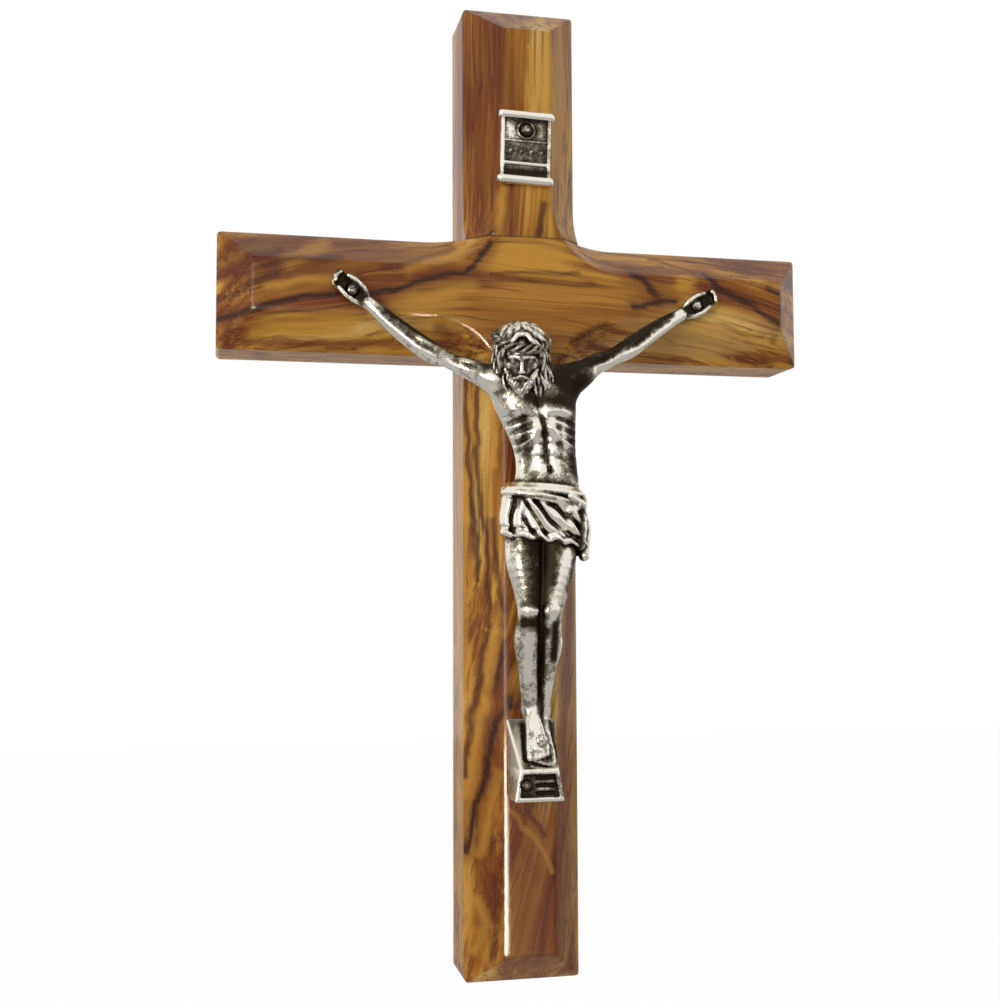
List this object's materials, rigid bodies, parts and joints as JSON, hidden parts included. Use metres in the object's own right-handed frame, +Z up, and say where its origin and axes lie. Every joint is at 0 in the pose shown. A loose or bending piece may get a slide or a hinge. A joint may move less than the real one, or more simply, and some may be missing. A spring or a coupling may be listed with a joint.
{
  "type": "wall crucifix",
  "caption": "Wooden wall cross of two lapped bars with a bevelled front edge, carrying a cast metal figure, foot rest and scroll plate held by round-head nails.",
  "frame": {"origin": "on the flat back, behind the centre of the crossing", "axes": "+X to the right as one looks at the front, +Y into the wall, +Z up"},
  "size_m": [0.1234, 0.0366, 0.2],
  "materials": {
    "upright_wood": "lacquered olive wood, grain along the bar",
    "crossbeam_wood": "lacquered olive wood, grain across",
    "antique_silver": "cast metal, silver plated, with dark patina in the recesses",
    "nail_steel": "bright steel with a dark rim"
  },
  "bodies": {
    "root": {"upright": "upright_wood", "crossbeam": "crossbeam_wood", "corpus": "antique_silver", "foot_rest": "antique_silver", "title_plate": "antique_silver", "title_nail": "nail_steel", "left_hand_nail": "nail_steel", "right_hand_nail": "nail_steel", "foot_nail": "nail_steel", "foot_rest_nail": "nail_steel"}
  },
  "joints": []
}
